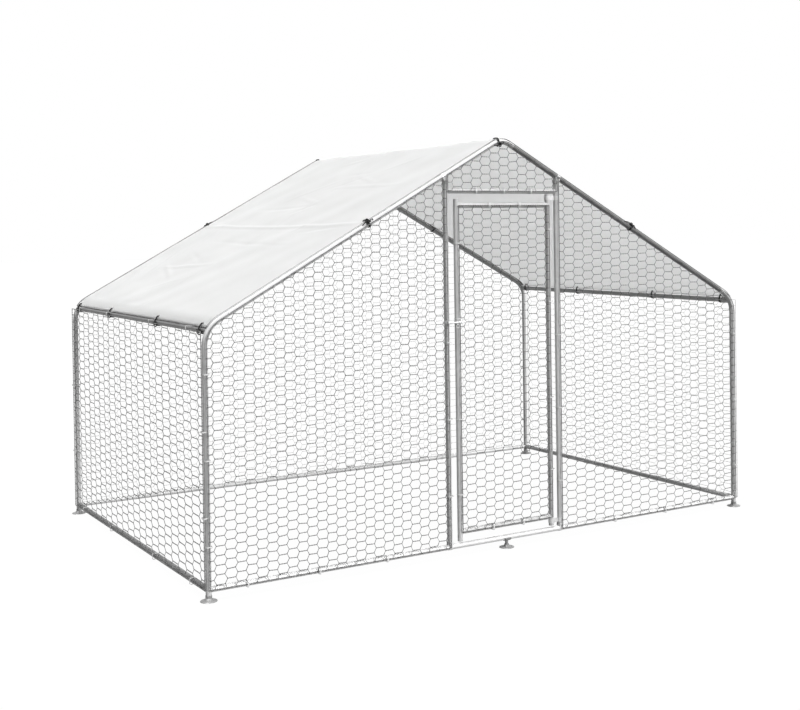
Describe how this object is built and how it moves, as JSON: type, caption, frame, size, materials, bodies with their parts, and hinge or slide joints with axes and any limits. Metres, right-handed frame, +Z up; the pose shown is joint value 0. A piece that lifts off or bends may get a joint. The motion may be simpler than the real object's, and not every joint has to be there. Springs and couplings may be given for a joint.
{
  "type": "walk-in chicken run",
  "caption": "Walk-in chicken run with a galvanised tube frame, gable front, hexagonal wire netting on every side, a white sheet roof and a hinged door with a sliding bolt.",
  "frame": {"origin": "on the ground in the middle of the run", "axes": "+X along the front to the right, +Y from the front to the back, +Z up"},
  "size_m": [3.047, 2.047, 1.9718],
  "materials": {
    "galvanised_tube": "galvanised",
    "zinc_fitting": "zinc plated",
    "bolt": "zinc plated",
    "foot": "galvanised",
    "net_wire": "galvanised wire",
    "cover_sheet": "woven polyethylene",
    "eyelet": "pressed",
    "black_nylon": "moulded",
    "white_nylon": "moulded"
  },
  "bodies": {
    "frame": {"front_left_post": "galvanised_tube", "front_left_rafter": "galvanised_tube", "front_left_eave_elbow": "galvanised_tube", "front_left_base_corner": "galvanised_tube", "front_right_post": "galvanised_tube", "front_right_rafter": "galvanised_tube", "front_right_eave_elbow": "galvanised_tube", "front_right_base_corner": "galvanised_tube", "back_left_post": "galvanised_tube", "back_left_rafter": "galvanised_tube", "back_left_eave_elbow": "galvanised_tube", "back_left_base_corner": "galvanised_tube", "back_right_post": "galvanised_tube", "back_right_rafter": "galvanised_tube", "back_right_eave_elbow": "galvanised_tube", "back_right_base_corner": "galvanised_tube", "front_ridge_elbow": "galvanised_tube", "back_ridge_elbow": "galvanised_tube", "ridge_tube": "galvanised_tube", "left_eave_rail": "galvanised_tube", "right_eave_rail": "galvanised_tube", "front_base_rail": "galvanised_tube", "back_base_rail": "galvanised_tube", "left_base_rail": "galvanised_tube", "right_base_rail": "galvanised_tube", "latch_post": "galvanised_tube", "hinge_post": "galvanised_tube", "transom_rail": "galvanised_tube", "front_left_foot": "foot", "front_right_foot": "foot", "back_left_foot": "foot", "back_right_foot": "foot", "threshold_foot": "foot", "rafter_clamps": "zinc_fitting", "post_saddles": "zinc_fitting", "upper_hinge": "zinc_fitting", "lower_hinge": "zinc_fitting", "latch_keeper": "zinc_fitting", "front_left_net": "net_wire", "front_right_net": "net_wire", "gable_net": "net_wire", "left_net": "net_wire", "right_net": "net_wire", "back_net": "net_wire", "roof_cover": "cover_sheet", "cover_eyelets": "eyelet", "cover_ties": "black_nylon", "net_ties": "white_nylon", "frame_bolts": "bolt"},
    "door": {"latch_stile": "galvanised_tube", "hinge_stile": "galvanised_tube", "door_top_rail": "galvanised_tube", "door_bottom_rail": "galvanised_tube", "door_net": "net_wire", "door_net_ties": "white_nylon", "latch_barrel": "zinc_fitting"},
    "latch_bolt": {"latch_bolt": "zinc_fitting"}
  },
  "joints": [
    {"name": "door_hinge", "type": "hinge", "parent": "frame", "child": "door", "pos_m": [0.265, -0.9875, 0.9], "axis": [0, 0, 1], "range_deg": [0, 120]},
    {"name": "bolt_slide", "type": "slide", "parent": "door", "child": "latch_bolt", "axis": [-1, 0, 0], "range_m": [0, 0.02]}
  ]
}
